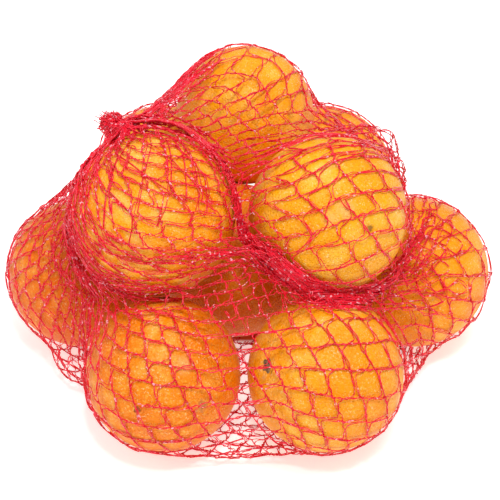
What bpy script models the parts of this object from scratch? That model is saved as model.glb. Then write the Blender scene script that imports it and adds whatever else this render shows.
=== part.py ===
"""A net of ten oranges, tied shut at both ends, as one closed solid.

Seven oranges lie on the table, six in a ring round a middle one, and three more rest
in the hollows between them. The sleeve of netting is drawn tight over the heap: it
hugs the crown of every orange, bridges the hollows as a taut skin, lies flat under the
heap, and is gathered at each end into a knot with a short tuft.

Run with: blender --background --python part.py
Units are metres, +Z is up, and the origin is on the table under the heap's middle.
"""

import math

import bmesh
import bpy
import numpy as np

MM = 0.001

# ---- the oranges -------------------------------------------------------------------
NET_THICKNESS = 0.8 * MM  # a filament crossing another
FRUIT_GAP = 0.4 * MM  # between two oranges that lean on each other
# name: (angle round the heap in degrees, distance from its middle, radius)
RING = {
    "right": (-4, 83.5 * MM, 38.0 * MM),
    "back_right": (62, 88.0 * MM, 37.0 * MM),
    "back_left": (121, 90.0 * MM, 37.5 * MM),
    "left": (184, 84.0 * MM, 37.5 * MM),
    "front_left": (243, 88.0 * MM, 36.5 * MM),
    "front_right": (295, 86.5 * MM, 37.0 * MM),
}
MIDDLE = (-6.0 * MM, 2.0 * MM, 39.0 * MM)  # x, y, radius
# name: (radius, the three oranges that it rests on)
ON_TOP = {
    "top_left": (38.5 * MM, ("front_left", "left", "middle")),
    "top_right": (37.5 * MM, ("front_right", "middle", "right")),
    "top_back": (35.5 * MM, ("middle", "back_left", "back_right")),
}

# ---- the sleeve of netting ---------------------------------------------------------
COLUMNS = 64  # round the sleeve
RINGS = 70  # from one tuft's tip to the other's
SKIN_GAP = 1.2 * MM  # from an orange's peel to the outside of the net
TIE_TOP = np.array((-59.5, -4.0, 127.0)) * MM  # neck of the knot on the top left orange
TIE_TOP_AXIS = (-0.93, 0.12, 0.34)  # the way its tuft points
TIE_BACK = np.array((80.0, 46.0, 9.5)) * MM  # neck of the knot low at the back right
TIE_BACK_AXIS = (0.80, 0.58, -0.16)
# A knot's outline, from the tip of its tuft to its neck: (along the axis, radius)
KNOT_OUTLINE = (
    (11.5 * MM, 2.4 * MM),
    (9.5 * MM, 4.6 * MM),
    (7.0 * MM, 5.4 * MM),
    (4.5 * MM, 5.0 * MM),
    (2.6 * MM, 3.4 * MM),
    (0.8 * MM, 2.5 * MM),
    (-1.2 * MM, 3.2 * MM),
)
KNOT_TIP = 12.2 * MM

PLEATS = 9  # folds round each gathered neck
PLEAT_DEPTH = 0.16  # share of the neck's radius

# ---- how the skin is drawn tight ---------------------------------------------------
PASSES = 600
ROUND_PULL = 0.5  # of a thread round the sleeve, beside one of the same length along it
GIVE = 0.3  # share of the way to balance that a point moves in one pass
SAG = 0.1 * MM  # that the skin near the table drops in one pass
SAG_BELOW = 14 * MM
TABLE_SNAP = 0.6 * MM  # skin lower than this lies on the table

NET_RED = (0.80, 0.06, 0.05, 1.0)


def resting_place(radius, supports):
    """Centre of an orange of this radius that touches three others, from above."""
    (a, ra), (b, rb), (c, rc) = ((s[0], s[1] + radius + FRUIT_GAP) for s in supports)
    along = (b - a) / np.linalg.norm(b - a)
    aside = (c - a) - along * along.dot(c - a)
    aside /= np.linalg.norm(aside)
    span = np.linalg.norm(b - a)
    i, j = along.dot(c - a), aside.dot(c - a)
    x = (ra**2 - rb**2 + span**2) / (2 * span)
    y = (ra**2 - rc**2 + i**2 + j**2 - 2 * i * x) / (2 * j)
    up = np.cross(along, aside)
    up *= math.copysign(math.sqrt(ra**2 - x**2 - y**2), up[2])
    return a + x * along + y * aside + up


def heap_of_oranges():
    """{name: (centre, radius)} of all ten."""
    heap = {}
    for name, (angle, distance, radius) in RING.items():
        turn = math.radians(angle)
        place = (distance * math.cos(turn), distance * math.sin(turn), radius + NET_THICKNESS)
        heap[name] = (np.array(place), radius)
    x, y, radius = MIDDLE
    heap["middle"] = (np.array((x, y, radius + NET_THICKNESS)), radius)
    for name, (radius, supports) in ON_TOP.items():
        heap[name] = (resting_place(radius, [heap[s] for s in supports]), radius)
    return heap


def spokes_round(way, side):
    """Unit spokes, one for each column, square to the way the sleeve runs."""
    side = side - way * way.dot(side)
    side /= np.linalg.norm(side)
    over = np.cross(side, way)
    turn = 2 * math.pi * np.arange(COLUMNS) / COLUMNS
    return np.outer(np.cos(turn), side) + np.outer(np.sin(turn), over)


def knot_rings(tie, axis, way_sign, side):
    """The tip and the rings, tip first, of the knot whose tuft points along axis."""
    axis = np.array(axis) / np.linalg.norm(axis)
    spokes = spokes_round(axis * way_sign, side)
    pleats = 1 + PLEAT_DEPTH * np.cos(PLEATS * 2 * math.pi * np.arange(COLUMNS) / COLUMNS)
    rings = [tie + axis * along + spokes * pleats[:, None] * radius for along, radius in KNOT_OUTLINE]
    return tie + axis * KNOT_TIP, np.array(rings)


def loose_sleeve(heap):
    """The two tips, and a grid of points (RINGS - 1, COLUMNS, 3) whose ends are the knots.

    Between the knots a point lies where a plane facing away from the heap's middle
    would just touch the heap, so the sleeve starts as a smooth bag round all ten.
    """
    middle = np.mean([centre for centre, _ in heap.values()], axis=0)
    centres = np.array([centre - middle for centre, _ in heap.values()])
    radii = np.array([radius for _, radius in heap.values()])
    start, end = (TIE_TOP - middle), (TIE_BACK - middle)
    start, end = start / np.linalg.norm(start), end / np.linalg.norm(end)
    way = (end - start) / np.linalg.norm(end - start)
    side = np.cross(way, (0, 0, 1))
    tip_top, top = knot_rings(TIE_TOP, TIE_TOP_AXIS, -1, side)
    tip_back, back = knot_rings(TIE_BACK, TIE_BACK_AXIS, 1, side)
    held = len(KNOT_OUTLINE)
    free = RINGS - 1 - 2 * held
    spokes = spokes_round(way, side)
    rings = list(top)
    for k in range(free):
        turn = math.pi * (k + 1) / (free + 1)
        away = start * math.cos(turn / 2) ** 2 + end * math.sin(turn / 2) ** 2 + spokes * math.sin(turn)
        away /= np.linalg.norm(away, axis=1, keepdims=True)
        reach = (away @ centres.T + radii).max(axis=1)
        rings.append(middle + away * reach[:, None])
    rings += list(back[::-1])
    return tip_top, tip_back, np.array(rings)


def drawn_tight(grid, heap):
    """Pulls each point towards its four neighbours until the sleeve hugs the heap.

    A longer thread pulls harder, which evens the skin out. After each pull, a point that
    has gone into an orange or the table is lifted back out of it. The rings of the knots
    stay where they are tied.
    """
    held = len(KNOT_OUTLINE)
    for _ in range(PASSES):
        free = grid[held:-held]
        threads = (
            (1.0, grid[held - 1 : -held - 1]),
            (1.0, grid[held + 1 : 1 - held]),
            (ROUND_PULL, np.roll(free, 1, axis=1)),
            (ROUND_PULL, np.roll(free, -1, axis=1)),
        )
        pulled = np.zeros_like(free)
        total = np.zeros(free.shape[:2] + (1,))
        for share, neighbour in threads:
            pull = share * np.linalg.norm(neighbour - free, axis=2, keepdims=True)
            pulled += pull * neighbour
            total += pull
        free = free + GIVE * (pulled / total - free)
        free[..., 2] -= SAG * (free[..., 2] < SAG_BELOW)
        for centre, radius in heap.values():
            out = free - centre
            distance = np.linalg.norm(out, axis=2, keepdims=True)
            reach = radius + SKIN_GAP
            free = np.where(distance < reach, centre + out * (reach / distance), free)
        free[..., 2] = np.maximum(free[..., 2], 0)
        grid[held:-held] = free
    grid[..., 2] = np.where(grid[..., 2] < TABLE_SNAP, 0, grid[..., 2])
    return grid


def sleeve_mesh(tip_top, tip_back, grid):
    """A globe whose poles are the tufts' tips, with every point moved to its place."""
    shape = bmesh.new()
    bmesh.ops.create_uvsphere(shape, u_segments=COLUMNS, v_segments=RINGS, radius=1)
    for vert in shape.verts:
        ring = round(math.acos(max(-1.0, min(1.0, vert.co.z))) / math.pi * RINGS)
        column = round(math.atan2(vert.co.y, vert.co.x) / (2 * math.pi) * COLUMNS) % COLUMNS
        if ring == 0:
            vert.co = tip_top
        elif ring == RINGS:
            vert.co = tip_back
        else:
            vert.co = grid[ring - 1, column]
    bmesh.ops.recalc_face_normals(shape, faces=shape.faces)
    mesh = bpy.data.meshes.new("net_of_oranges")
    shape.to_mesh(mesh)
    shape.free()
    mesh.shade_smooth()
    return mesh


def net_material():
    material = bpy.data.materials.new("red_netting")
    material.use_nodes = True
    surface = material.node_tree.nodes["Principled BSDF"]
    surface.inputs["Base Color"].default_value = NET_RED
    surface.inputs["Roughness"].default_value = 0.4
    surface.inputs["Metallic"].default_value = 0.0
    return material


def build():
    for old in list(bpy.data.objects):
        bpy.data.objects.remove(old, do_unlink=True)
    parts = bpy.data.collections.new("net_of_oranges")
    bpy.context.scene.collection.children.link(parts)
    heap = heap_of_oranges()
    tip_top, tip_back, grid = loose_sleeve(heap)
    grid = drawn_tight(grid, heap)
    net = bpy.data.objects.new("net_of_oranges", sleeve_mesh(tip_top, tip_back, grid))
    net.data.materials.append(net_material())
    parts.objects.link(net)


build()
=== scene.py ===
# %% [markdown]
# # A net of oranges
#
# Ten oranges lie in a heap, seven on the table and three in the hollows on top. A sleeve
# of red knitted netting is drawn over them, and each of its ends is tied off in a short
# tuft. In this lesson we build the oranges with their peel, work out where every stitch
# of the net comes to rest, and then run the doubled threads of the knit through those
# stitches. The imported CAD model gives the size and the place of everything.

import math

import bmesh
import bpy
import numpy as np
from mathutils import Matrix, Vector


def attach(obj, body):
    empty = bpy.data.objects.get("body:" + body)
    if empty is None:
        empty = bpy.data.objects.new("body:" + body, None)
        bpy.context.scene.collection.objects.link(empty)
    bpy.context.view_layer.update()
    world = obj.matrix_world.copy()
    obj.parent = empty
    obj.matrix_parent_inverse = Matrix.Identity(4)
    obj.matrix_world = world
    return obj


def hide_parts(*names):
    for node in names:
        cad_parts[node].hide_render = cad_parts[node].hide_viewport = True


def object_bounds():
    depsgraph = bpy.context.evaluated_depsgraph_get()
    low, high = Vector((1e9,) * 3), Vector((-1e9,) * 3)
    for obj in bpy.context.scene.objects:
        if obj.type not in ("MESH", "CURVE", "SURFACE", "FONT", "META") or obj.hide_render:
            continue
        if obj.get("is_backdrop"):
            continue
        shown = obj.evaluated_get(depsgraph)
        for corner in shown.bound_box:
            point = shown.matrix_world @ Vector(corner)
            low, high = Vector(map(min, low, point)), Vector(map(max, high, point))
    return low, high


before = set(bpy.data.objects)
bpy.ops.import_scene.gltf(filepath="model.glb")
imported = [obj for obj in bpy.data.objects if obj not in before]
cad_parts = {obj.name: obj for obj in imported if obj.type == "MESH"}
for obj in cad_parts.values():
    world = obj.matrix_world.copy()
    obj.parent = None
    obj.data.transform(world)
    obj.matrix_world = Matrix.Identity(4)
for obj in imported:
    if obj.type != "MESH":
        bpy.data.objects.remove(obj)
cad_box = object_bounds()
MM = 0.001
print("the CAD model's box:", [[round(v, 4) for v in corner] for corner in cad_box])

# %% [markdown]
# ## Helpers for nodes
#
# Both materials and Geometry Nodes are trees of nodes. `Tree.add` is our one way to add
# a node: first its settings, then the values or links of its sockets. What it returns is
# a `Wire`, an output that can be used in sums: `1 - mask * 2` adds the Math nodes that
# work it out. That keeps a long tree as readable as a formula. The nodes that every
# finish of this net needs, such as noise and bump, have a short method each.

# %% Wires and trees
class Wire:
    """One output socket, with arithmetic that adds Math nodes."""

    def __init__(self, tree, socket):
        self.tree = tree
        self.socket = socket

    def reckon(self, operation, *values):
        inputs = dict(enumerate(values))
        return self.tree.add("ShaderNodeMath", {"operation": operation}, inputs)

    def __add__(self, other):
        return self.reckon("ADD", self, other)

    def __sub__(self, other):
        return self.reckon("SUBTRACT", self, other)

    def __rsub__(self, other):
        return self.reckon("SUBTRACT", other, self)

    def __mul__(self, other):
        return self.reckon("MULTIPLY", self, other)

    __radd__ = __add__
    __rmul__ = __mul__

    def between(self, low, high):
        """0 at low, 1 at high, and an even slope between, also where low is the larger."""
        settings = {"clamp": True}
        inputs = {"Value": self, "From Min": low, "From Max": high}
        return self.tree.add("ShaderNodeMapRange", settings, inputs)


class Tree:
    """A node tree that is filled one node at a time."""

    def __init__(self, nodes):
        self.nodes = nodes.nodes
        self.links = nodes.links

    def add(self, kind, settings=None, inputs=None, out=0):
        node = self.nodes.new(kind)
        for name, value in (settings or {}).items():
            setattr(node, name, value)
        for name, value in (inputs or {}).items():
            self.feed(node.inputs[name], value)
        return Wire(self, node.outputs[out]) if len(node.outputs) else node

    def feed(self, socket, value):
        if isinstance(value, Wire):
            self.links.new(value.socket, socket)
        elif value is not None:
            socket.default_value = value

    def blend(self, share, first, second):
        """first where share is 0, second where it is 1, as colours."""
        inputs = {0: share, 6: first, 7: second}
        return self.add("ShaderNodeMix", {"data_type": "RGBA"}, inputs, out=2)

    def noise(self, place, scale, detail):
        inputs = {"Vector": place, "Scale": scale, "Detail": detail}
        return self.add("ShaderNodeTexNoise", {}, inputs)

    def bump(self, height, distance, strength):
        inputs = {"Height": height, "Distance": distance, "Strength": strength}
        return self.add("ShaderNodeBump", {}, inputs, out="Normal")

    def from_spot(self, place, spot):
        """How far a place is from one spot."""
        settings = {"operation": "DISTANCE"}
        return self.add("ShaderNodeVectorMath", settings, {0: place, 1: Vector(spot)}, out="Value")


def colour(red, green, blue):
    """A colour given as it looks on a screen, 0 to 255, for a node's linear socket."""
    linear = []
    for value in (red, green, blue):
        value /= 255
        linear.append(value / 12.92 if value < 0.04045 else ((value + 0.055) / 1.055) ** 2.4)
    return (*linear, 1.0)


def new_finish(name):
    """A material, its tree, its surface node and the wire of its Object coordinates."""
    material = bpy.data.materials.new(name)
    material.use_nodes = True
    tree = Tree(material.node_tree)
    place = tree.add("ShaderNodeTexCoord", out="Object")
    return material, tree, material.node_tree.nodes["Principled BSDF"], place


def unit(vectors):
    return vectors / np.maximum(np.linalg.norm(vectors, axis=-1, keepdims=True), 1e-9)


print("helpers ready")

# %% [markdown]
# ## The heap
#
# The CAD model gives each orange's radius and place: six in a ring round a middle one,
# and three more that each rest on three below. Where one sphere touches three others is
# worked out exactly, so nothing floats and nothing sinks in.

# %% Centres and radii
NET_THICKNESS = 0.8 * MM
FRUIT_GAP = 0.4 * MM
# name: (angle round the heap in degrees, distance from its middle, radius)
RING = {
    "right": (-4, 83.5 * MM, 38.0 * MM),
    "back_right": (62, 88.0 * MM, 37.0 * MM),
    "back_left": (121, 90.0 * MM, 37.5 * MM),
    "left": (184, 84.0 * MM, 37.5 * MM),
    "front_left": (243, 88.0 * MM, 36.5 * MM),
    "front_right": (295, 86.5 * MM, 37.0 * MM),
}
MIDDLE = (np.array((-6.0, 2.0, 39.8)) * MM, 39.0 * MM)  # centre, radius
# name: (radius, the three oranges that it rests on)
ON_TOP = {
    "top_left": (38.5 * MM, ("front_left", "left", "middle")),
    "top_right": (37.5 * MM, ("front_right", "middle", "right")),
    "top_back": (35.5 * MM, ("middle", "back_left", "back_right")),
}


def resting_place(radius, supports):
    """Centre of an orange of this radius that touches three others, from above."""
    (a, ra), (b, rb), (c, rc) = ((s[0], s[1] + radius + FRUIT_GAP) for s in supports)
    along = unit(b - a)
    aside = unit((c - a) - along * along.dot(c - a))
    span = np.linalg.norm(b - a)
    i = along.dot(c - a)
    j = aside.dot(c - a)
    x = (ra**2 - rb**2 + span**2) / (2 * span)
    y = (ra**2 - rc**2 + i**2 + j**2 - 2 * i * x) / (2 * j)
    up = np.cross(along, aside)
    up *= math.copysign(math.sqrt(ra**2 - x**2 - y**2), up[2])
    return a + x * along + y * aside + up


heap = {}
for name, (angle, distance, radius) in RING.items():
    turn = math.radians(angle)
    place = (distance * math.cos(turn), distance * math.sin(turn), radius + NET_THICKNESS)
    heap[name] = (np.array(place), radius)
heap["middle"] = MIDDLE
for name, (radius, supports) in ON_TOP.items():
    heap[name] = (resting_place(radius, [heap[s] for s in supports]), radius)
CENTRES = np.array([centre for centre, _ in heap.values()])
RADII = np.array([radius for _, radius in heap.values()])
highest = (CENTRES[:, 2] + RADII).max()
print(len(heap), "oranges, the highest point at", round(highest / MM, 1), "mm")


NEARBY = 3 * MM  # an orange this much further off counts for a third as much


def outward(points):
    """The way out of the heap at each point: away from the nearest oranges' centres."""
    away = points[:, None] - CENTRES
    distance = np.linalg.norm(away, axis=2)
    share = np.exp(-np.clip((distance - RADII) / NEARBY, 0, 40))
    return unit((away / distance[..., None] * share[..., None]).sum(axis=1))


def kept_off(points, gap):
    """The points, with those nearer to the peel than gap lifted out to it."""
    for centre, radius in zip(CENTRES, RADII):
        away = points - centre
        distance = np.linalg.norm(away, axis=-1, keepdims=True)
        points = np.where(distance < radius + gap, centre + away * (radius + gap) / distance, points)
    return points


# %% [markdown]
# ## Where the stitches lie
#
# The net is a tube of diamond meshes, closed at both ends, with a stitch where they meet.
# Where each stitch rests is found as it is on the real thing, by pulling the net tight
# over the fruit. We lay the tube's stitches on lines that run from the knot on top to the
# knot at the back, closer together over the two front oranges and further apart at the
# back. Then every stitch is pulled again and again towards its four neighbours, and
# lifted back out whenever it has gone into an orange or the table. A cloth simulation
# could do the same, but it would have to find the folds of slack net by itself, and here
# they must lie where they do on this net.

# %% Lines from knot to knot
TIE_TOP = np.array((-59.5, -4.0, 127.0)) * MM  # neck of the knot on the top left orange
TIE_TOP_AXIS = unit(np.array((-0.93, 0.12, 0.34)))  # the way its tuft points
TIE_BACK = np.array((80.0, 46.0, 9.5)) * MM  # neck of the knot low at the back right
TIE_BACK_AXIS = unit(np.array((0.80, 0.58, -0.16)))
NECK = 2.3 * MM  # radius of the bundle of threads in a knot
HEAP_MIDDLE = CENTRES.mean(axis=0)
START = unit(TIE_TOP - HEAP_MIDDLE)
END = unit(TIE_BACK - HEAP_MIDDLE)
WAY = unit(END - START)
VALLEY = np.array((20.0, -60.0, 85.0)) * MM - HEAP_MIDDLE  # towards the main fold
SIDE = unit(VALLEY - WAY * WAY.dot(VALLEY))
OVER = np.cross(WAY, SIDE)
LINE_STEPS = 80
print("the knots are", round(np.linalg.norm(TIE_BACK - TIE_TOP) / MM), "mm apart")


def lines_over_heap(angles, turns):
    """Points on a smooth bag that touches the heap all round, for angles (turns, columns)."""
    turns = turns[:, None, None]
    spokes = np.cos(angles)[..., None] * SIDE + np.sin(angles)[..., None] * OVER
    knots = START * np.cos(turns / 2) ** 2 + END * np.sin(turns / 2) ** 2
    away = unit(knots + spokes * np.sin(turns))
    reach = (away @ (CENTRES - HEAP_MIDDLE).T + RADII).max(axis=2)
    return HEAP_MIDDLE + away * reach[..., None]


def ring_round_neck(tie, axis, angles):
    side = unit(SIDE - axis * axis.dot(SIDE))
    over = np.cross(axis, side)
    return tie + NECK * (np.outer(np.cos(angles), side) + np.outer(np.sin(angles), over))


# %% Columns of stitches
COLUMNS = 64
STITCH = 8.6 * MM  # from one row of stitches to the next, along the net
# Angles round the sleeve are in radians from the main fold.
CLOSE = 0.8  # how much closer the columns lie over the front oranges
CLOSE_AT = 0.5
CLOSE_WIDTH = 0.35
LOOSE = 0.4  # how much further apart they lie over the back
LOOSE_AT = -1.6
LOOSE_WIDTH = 0.8
LOOSE_STITCH = 5.0 * MM  # how much longer the stitches are there
SWIRL = 1.0  # how far the lines near the first knot are turned to the left
SWIRL_AT = 0.7
SWIRL_NEAR = 0.65  # its width on the side of the fold
SWIRL_FAR = 1.05  # and on the other side
SWIRL_END = 0.6 * math.pi  # of the turn from knot to knot, where it has faded out
SLACK_ROWS = 0.55  # how much closer the rows lie on the top left orange
SLACK_REACH = 9 * MM
LAG = 20.0  # rows that the net lags by for a radian round it, across the main fold
LAG_WITHIN = 0.35
LAG_AT = 0.42 * math.pi  # of the turn from knot to knot
LAG_WIDTH = 0.55


def bell(values, middle, width):
    return np.exp(-(((values - middle) / width) ** 2))


def swirled(angles, turns):
    """Angles (turns, angles) of lines that leave the first knot turned to one side."""
    width = np.where(angles < SWIRL_AT, SWIRL_NEAR, SWIRL_FAR)
    share = np.clip(turns / SWIRL_END, 0, 1)
    fade = 1 - share * share * (3 - 2 * share)
    return angles + fade[:, None] * SWIRL * bell(angles, SWIRL_AT, width)


angles = np.linspace(-math.pi, math.pi, 721)
waist = lines_over_heap(np.tile(angles, (9, 1)), np.linspace(0.3, 0.7, 9) * math.pi)
speed = np.linalg.norm(np.gradient(waist, axis=1), axis=2).mean(axis=0)
crowd = 1 - LOOSE * bell(angles, LOOSE_AT, LOOSE_WIDTH)
crowd += CLOSE * bell(angles, CLOSE_AT, CLOSE_WIDTH)
crowd *= speed / speed.mean()
filled = np.concatenate(([0], np.cumsum((crowd[1:] + crowd[:-1]) / 2)))
shares = (np.arange(COLUMNS) + 0.5) / COLUMNS
even_angles = np.interp(shares, filled / filled[-1], angles)
odd_angles = np.interp((shares + 0.5 / COLUMNS) % 1, filled / filled[-1], angles)
closest = math.degrees(np.diff(even_angles).min())
print(COLUMNS, "columns, the closest", round(closest, 1), "degrees apart")

# %% Rows of stitches
def walked(lines):
    """How much net lies along each line up to each of its points."""
    steps = np.linalg.norm(np.diff(lines, axis=0), axis=2)
    centre, radius = heap["top_left"]
    off = np.linalg.norm((lines[1:] + lines[:-1]) / 2 - centre, axis=2) - radius
    steps *= 1 + SLACK_ROWS * bell(off, 0, SLACK_REACH)
    return np.concatenate((np.zeros((1, COLUMNS)), np.cumsum(steps, axis=0)))


def rows_passed(line, angles, rows):
    """How many rows of stitches lie on each line up to each of its points."""
    far = walked(line)
    lag = LAG * np.clip(angles, -LAG_WITHIN, LAG_WITHIN) * bell(angles, 0, 2 * LAG_WITHIN)
    lag = lag * bell(turns, LAG_AT, LAG_WIDTH)[:, None]
    return np.maximum.accumulate(far / far[-1] * rows - lag, axis=0)


turns = np.linspace(0, math.pi, LINE_STEPS)
lines = []
for column_angles in (even_angles, odd_angles):
    line = lines_over_heap(swirled(column_angles, turns), turns)
    line[0] = TIE_TOP
    line[-1] = TIE_BACK
    lines.append(line)
pitch = STITCH + LOOSE_STITCH * bell(even_angles, LOOSE_AT, LOOSE_WIDTH)
rows = walked(lines[0])[-1] / pitch
for _ in range(6):  # neighbouring columns get much the same number of stitches
    rows = (np.roll(rows, 1) + 2 * rows + np.roll(rows, -1)) / 4
rows = np.round(rows).astype(int)
ROWS = rows.max() + 1
print(COLUMNS, "columns of", rows.min(), "to", rows.max(), "stitches")

# %% First places of the stitches
stitches = np.zeros((ROWS, COLUMNS, 3))
tied = np.zeros((ROWS, COLUMNS), bool)
for row in range(ROWS):
    line = lines[row % 2]
    row_angles = (even_angles, odd_angles)[row % 2]
    passed = rows_passed(line, row_angles, rows)
    back_ring = ring_round_neck(TIE_BACK, TIE_BACK_AXIS, row_angles)
    for column in range(COLUMNS):
        for axis in range(3):
            stitches[row, column, axis] = np.interp(row, passed[:, column], line[:, column, axis])
    if row == 0:
        top_angles = swirled(row_angles, turns[:1])[0]
        stitches[row] = ring_round_neck(TIE_TOP, -TIE_TOP_AXIS, top_angles)
        tied[row] = True
    stitches[row] = np.where((row >= rows)[:, None], back_ring, stitches[row])
    tied[row] |= row >= rows

# %% Which stitches are linked
NONE = -1
index = np.arange(ROWS * COLUMNS).reshape(ROWS, COLUMNS)
DIAGONALS = ("left_below", "right_below", "left_above", "right_above")
around = {name: np.full((ROWS, COLUMNS), NONE) for name in DIAGONALS}
for row in range(ROWS):
    even = row % 2 == 0
    for name, other in (("below", row + 1), ("above", row - 1)):
        if 0 <= other < ROWS:
            around["left_" + name][row] = np.roll(index[other], 1) if even else index[other]
            around["right_" + name][row] = index[other] if even else np.roll(index[other], -1)
left_below, right_below, left_above, right_above = (around[name].ravel() for name in DIAGONALS)
upper = np.tile(index[:-1].ravel(), 2)
lower = np.concatenate((left_below[: len(upper) // 2], right_below[: len(upper) // 2]))
free = ~tied.ravel()
print(int(free.sum()), "stitches and", len(upper), "links between them")

# %% [markdown]
# The slack of the net has slid into folds. One comes down from the knot between the two
# front oranges on top, swings round under the right one, and climbs its far side. The
# second runs from the knot round the outside of the top left orange and under it. A third
# is a short one, from the knot to the orange at the back. A few given points are joined
# by a smooth curve, and stitches near to the first two are drawn to them.

# %% The folds
FOLD_DOWN_THE_VALLEY = (
    (-57, -5, 127), (-53.5, -5, 130.5), (-45.5, -8, 133.5), (-36, -11, 135), (-27, -14, 131.5),
    (-21.4, -18, 127.8), (-15.5, -22, 123.6), (-10.5, -27, 118), (-8, -33, 114.5), (-6, -38, 108),
    (-4.8, -41.5, 100), (-2.5, -44, 93.5), (8, -55, 92), (15.6, -62, 89),
    (22, -64.5, 83.5), (28, -65.5, 78.5), (40.7, -67, 74.7), (52, -62, 70), (60, -53, 66),
    (68, -43, 66), (76, -33, 70), (81.5, -26, 74),
)  # fmt: skip
FOLD_UNDER_THE_LEFT = (
    (-62, -12, 128), (-68, -25, 128), (-75, -33, 122), (-82, -38, 112), (-85, -38, 100),
    (-86.5, -34, 86), (-85, -33, 76), (-81, -37, 68), (-74, -44, 67), (-63, -62, 76),
    (-52, -69, 79.5), (-38, -66, 74), (-24, -58, 70),
)  # fmt: skip
FOLD_TO_THE_BACK = (
    (-57, -4, 127), (-53, 3, 128.5), (-47, 8, 127.5), (-43, 14, 126.5), (-39.5, 20, 125.5),
    (-35, 30, 125), (-30, 40, 124.5), (-25, 46, 126), (-20, 50, 127.5), (-14, 55, 129),
    (-7, 60, 129.5),
)  # fmt: skip


def far_along(points):
    """How far along the line through these points each of them lies."""
    return np.concatenate(([0], np.cumsum(np.linalg.norm(np.diff(points, axis=0), axis=1))))


def smooth_curve(points, count):
    """count points, evenly spaced, on a curve that follows the given ones, in metres."""
    points = np.array(points, float) * MM
    for _ in range(3):  # corner cutting
        first = points[:-1] * 0.75 + points[1:] * 0.25
        second = points[:-1] * 0.25 + points[1:] * 0.75
        cut = np.stack((first, second), axis=1).reshape(-1, 3)
        points = np.concatenate((points[:1], cut, points[-1:]))
    far = far_along(points)
    even = np.linspace(0, far[-1], count)
    return np.stack([np.interp(even, far, points[:, axis]) for axis in range(3)], axis=1)


valley_fold = smooth_curve(FOLD_DOWN_THE_VALLEY, 60)
left_fold = smooth_curve(FOLD_UNDER_THE_LEFT, 45)
back_fold = smooth_curve(FOLD_TO_THE_BACK, 30)
for fold in (valley_fold, left_fold, back_fold):
    print("a fold of", round(far_along(fold)[-1] / MM), "mm")

# %% Pull the net tight
PASSES = 900
GIVE = 0.2  # share of the way to balance that a stitch moves in one pass
STITCH_LENGTH = 3.0 * MM
NATURAL_LENGTH = 8 * MM  # of a link that pulls with a strength of 1
LONGEST = 9.8 * MM  # the threads between two stitches don't stretch past this
SAG = 0.2 * MM  # that the net near the table drops in one pass
SAG_BELOW = 14 * MM
LOWEST = 0.5 * MM
LOOK_AGAIN = 15  # passes between two searches for each stitch's place on a fold
# fold, how strongly it draws stitches in, and from how far
FOLDS = ((valley_fold, 0.3, 14 * MM), (left_fold, 0.2, 10 * MM))
FOLD_CORE = 4 * MM
# How firmly the peel grips the net where it lies on an orange, 1 for not sliding at all
GRIPPED = {"top_left": 0.97, "top_right": 0.997, "top_back": 0.997}
GRIP_FROM = 2.4  # the grip is whole up to 1.4 reaches from the peel, and gone at 2.4
GRIP_REACH = 7 * MM
# How hard the links on an orange pull together
SHRUNK = {
    "top_left": 4.0,
    "top_back": 0.13,
    "top_right": 1.5,
    "front_left": 2.0,
    "front_right": 14.0,
    "right": 2.5,
}
SHRINK_REACH = 6 * MM
# Where slack net stands off the fruit: the middle and radius of a ball that it rests on
STAND_OFF = (
    (np.array((61.5, 26.0, 92.0)) * MM, 14.0 * MM),
    (np.array((66.5, 6.0, 92.0)) * MM, 14.0 * MM),
    (np.array((-85.5, -47.0, 16.0)) * MM, 10.0 * MM),
    (np.array((79.5, -41.0, 15.0)) * MM, 9.0 * MM),
)

count = len(free)
flat = stitches.reshape(-1, 3)
onward = (flat[left_below] + flat[right_below]) * free[:, None]
backward = (flat[left_above] + flat[right_above]) * free[:, None]
ahead = unit(onward - backward)
can_move = np.tile(free, 2)[:, None].astype(float)
# The first half of ends holds the stitches' heads, the second half their feet.
half = ahead * STITCH_LENGTH / 2 * free[:, None]
ends = np.concatenate((flat - half, flat + half))
foot, head = upper + count, lower
chance = np.random.default_rng(3)
lift = np.tile(chance.uniform(0.7, 1.25, (count, 1)), (2, 1)) * MM
groups = np.split(np.arange(len(upper)), 2)
nearest = [None, None]


def hardness(points):
    """How hard a link at each point pulls."""
    hard = np.ones(len(points))
    for name, strength in SHRUNK.items():
        centre, radius = heap[name]
        off = np.linalg.norm(points - centre, axis=1) - radius
        hard *= strength ** np.clip(1.5 - off / SHRINK_REACH, 0, 1)
    return hard[:, None]


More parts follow.
